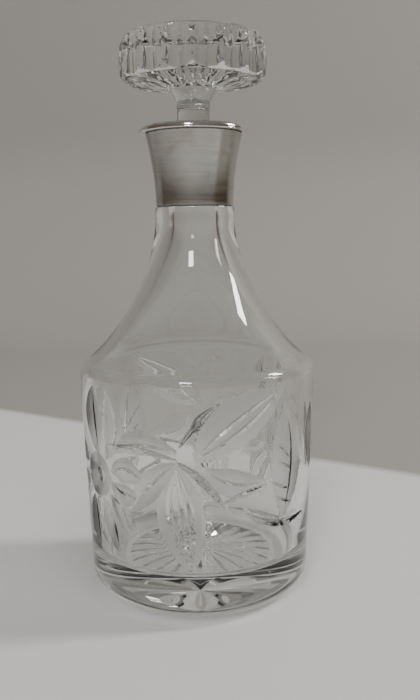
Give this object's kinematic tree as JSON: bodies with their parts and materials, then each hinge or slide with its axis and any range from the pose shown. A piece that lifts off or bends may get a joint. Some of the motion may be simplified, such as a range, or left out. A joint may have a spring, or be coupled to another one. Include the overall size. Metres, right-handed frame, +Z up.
{
  "type": "cut crystal decanter",
  "caption": "Cut crystal spirit decanter with flower and leaf cutting, a star-cut base, a flared silver collar and a fluted disc stopper that lifts out.",
  "frame": {"origin": "middle of the foot, on the plane that the decanter stands on", "axes": "+Z up along the axis of the body, neck and stopper; the front of the cut flower decoration faces -Y"},
  "size_m": [0.104, 0.104, 0.2432],
  "materials": {
    "body_glass": "polished clear crystal with matt intaglio cutting",
    "stopper_glass": "polished clear crystal, ground on the peg",
    "sleeve_silver": "softly polished silver with fine scratches",
    "rim_silver": "polished silver",
    "bedding_plaster": "matt"
  },
  "bodies": {
    "decanter": {"decanter_body": "body_glass", "collar_sleeve": "sleeve_silver", "collar_rim": "rim_silver", "collar_bedding": "bedding_plaster"},
    "stopper": {"stopper": "stopper_glass"}
  },
  "joints": [
    {"name": "stopper_lift", "type": "slide", "parent": "decanter", "child": "stopper", "axis": [0, 0, 1], "range_m": [0, 0.045]}
  ]
}
